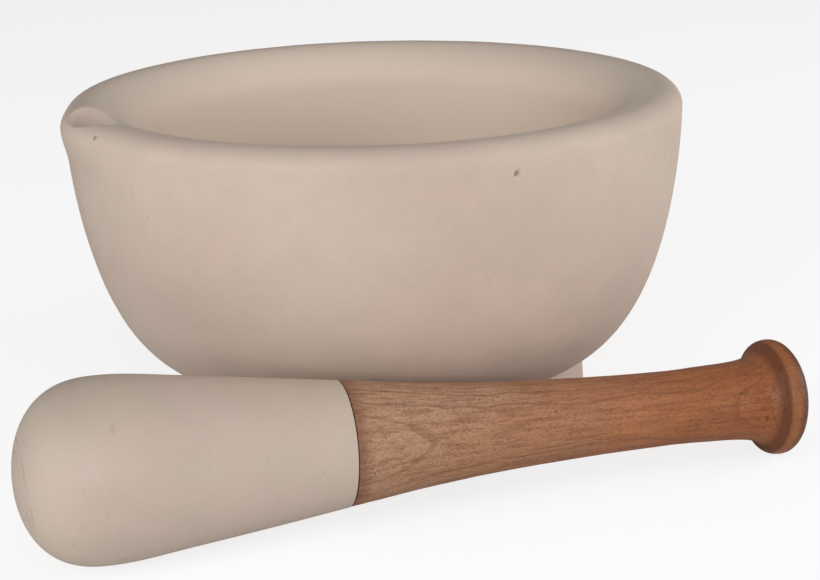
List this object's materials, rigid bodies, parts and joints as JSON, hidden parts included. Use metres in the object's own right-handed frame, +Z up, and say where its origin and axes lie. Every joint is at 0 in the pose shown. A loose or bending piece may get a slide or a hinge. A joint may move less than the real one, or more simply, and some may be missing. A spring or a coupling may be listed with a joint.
{
  "type": "mortar and pestle",
  "caption": "Large unglazed ceramic mortar with a pouring lip and foot ring, and a ceramic-headed pestle with a turned wooden handle lying beside it.",
  "frame": {"origin": "middle of the set's footprint, on the bench it stands on (z = 0)", "axes": "+Z up, along the mortar's axis of revolution; +X to the right along the pestle, which lies in front of the mortar with its handle to the right and is turned 16 degrees towards +Y; +Y from the pestle towards the mortar"},
  "size_m": [0.2924, 0.3298, 0.133],
  "materials": {
    "mortar_ceramic": "unglazed, matte",
    "pestle_ceramic": "unglazed, rubbed smooth",
    "handle_wood": "turned, oiled and worn",
    "cement": "dark resin cement, matte"
  },
  "bodies": {
    "mortar": {"mortar_bowl": "mortar_ceramic"},
    "pestle": {"pestle_head": "pestle_ceramic", "pestle_handle": "handle_wood", "joint_cement": "cement"}
  },
  "joints": [
    {"name": "pestle_lift", "type": "slide", "parent": "mortar", "child": "pestle", "axis": [0.1581, -0.5514, 0.8191], "range_m": [0, 0.3]}
  ]
}
